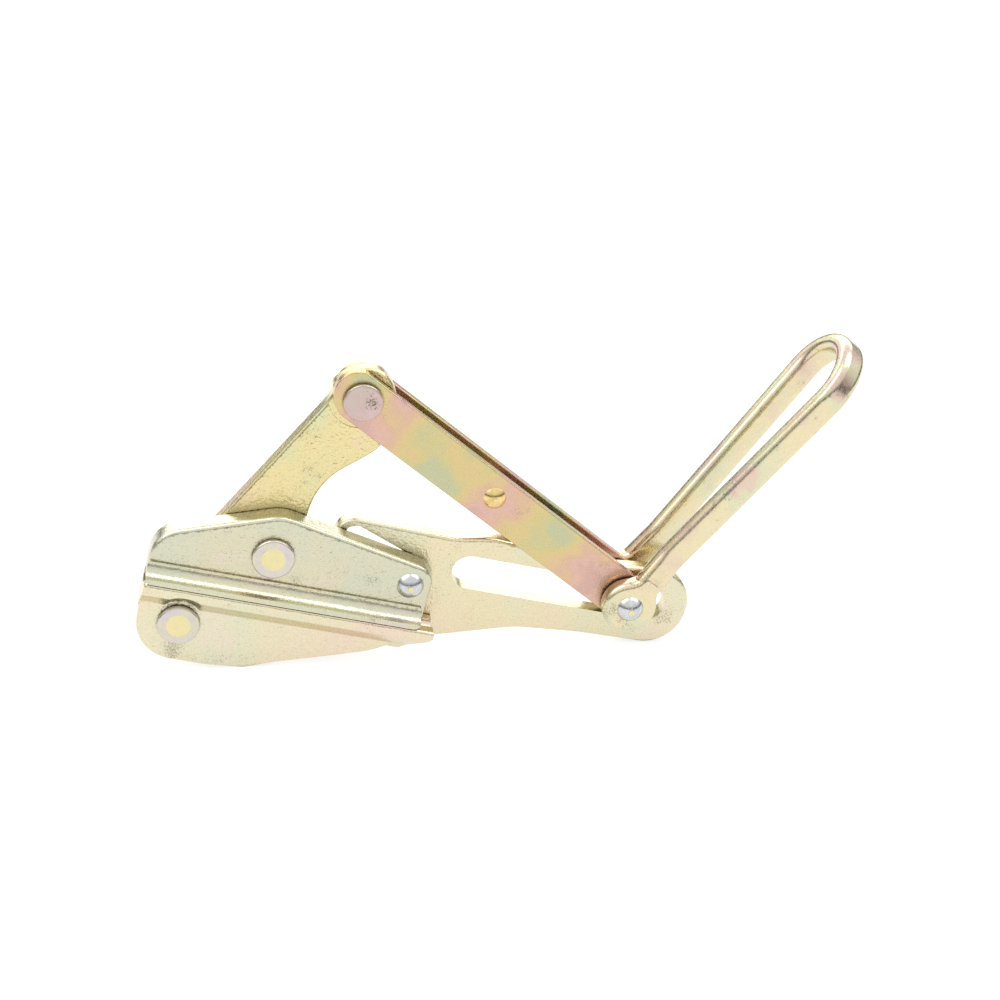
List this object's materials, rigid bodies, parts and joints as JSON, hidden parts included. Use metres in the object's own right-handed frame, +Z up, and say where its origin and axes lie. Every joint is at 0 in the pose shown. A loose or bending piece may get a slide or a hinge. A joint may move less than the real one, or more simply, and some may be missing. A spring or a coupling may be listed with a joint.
{
  "type": "parallel jaw wire grip",
  "caption": "Forged come-along wire grip: a lever and side links draw two parallel jaws shut on a cable when its bail is pulled.",
  "frame": {"origin": "centre of the footprint's bounding box, on the surface that the grip stands on", "axes": "+X along the grip towards the tail and bail, +Y away from the side where the cable is laid in, +Z up; the cable line lies in the XZ plane's direction and dips 12.9 degrees towards +X"},
  "size_m": [0.358, 0.0528, 0.1679],
  "materials": {
    "plated_forging": "drop forged and tumbled steel, yellow chromate plated",
    "plated_bar": "rolled and bent steel, yellow chromate plated with rainbow tints",
    "turned_washer": "turned steel washer, violet tinted plating",
    "turned_pin": "turned steel pin, yellow chromate plated end",
    "polished_rivet": "polished domed rivet head",
    "gold_rivet": "domed rivet head, yellow chromate plated"
  },
  "bodies": {
    "frame": {"upper_jaw": "plated_forging", "guide_tail": "plated_forging", "lever_pin": "turned_pin", "lever_pin_near_washer": "turned_washer", "lever_pin_far_washer": "turned_washer", "guide_rivet": "polished_rivet"},
    "lever": {"lever": "plated_forging"},
    "lower_jaw": {"lower_jaw": "plated_forging", "jaw_pin": "turned_pin", "jaw_pin_near_washer": "turned_washer", "jaw_pin_far_washer": "turned_washer", "rear_link_pin": "turned_washer"},
    "rear_link": {"rear_link": "plated_bar"},
    "side_links": {"near_link": "plated_bar", "far_link": "plated_bar", "link_pin": "turned_pin", "link_pin_near_washer": "turned_washer", "link_pin_far_washer": "turned_washer", "spacer_sleeve": "plated_bar", "spacer_rivet": "gold_rivet"},
    "bail": {"bail": "plated_bar", "bail_pin": "polished_rivet"}
  },
  "joints": [
    {"name": "lever_pivot", "type": "hinge", "parent": "frame", "child": "lever", "pos_m": [-0.11155, 0, 0.06194], "axis": [0, -1, 0], "range_deg": [0, 33]},
    {"name": "jaw_pivot", "type": "hinge", "parent": "lever", "child": "lower_jaw", "pos_m": [-0.15839, 0, 0.0263], "axis": [0, -1, 0], "range_deg": [-33.5, 0.5]},
    {"name": "rear_link_pivot", "type": "hinge", "parent": "frame", "child": "rear_link", "pos_m": [-0.0436, 0, 0.04371], "axis": [0, -1, 0], "range_deg": [-0.5, 33.5]},
    {"name": "link_pivot", "type": "hinge", "parent": "lever", "child": "side_links", "pos_m": [-0.06828, 0, 0.142], "axis": [0, -1, 0], "range_deg": [-35.2, 0.5]},
    {"name": "bail_pivot", "type": "hinge", "parent": "side_links", "child": "bail", "pos_m": [0.0685, 0, 0.02881], "axis": [0, -1, 0], "range_deg": [-115, 10]}
  ],
  "couplings": [
    {"joint": "jaw_pivot", "follows": "lever_pivot", "ratio": -1},
    {"joint": "rear_link_pivot", "follows": "lever_pivot", "ratio": 1},
    {"joint": "link_pivot", "follows": "lever_pivot", "ratio": -1.06}
  ]
}
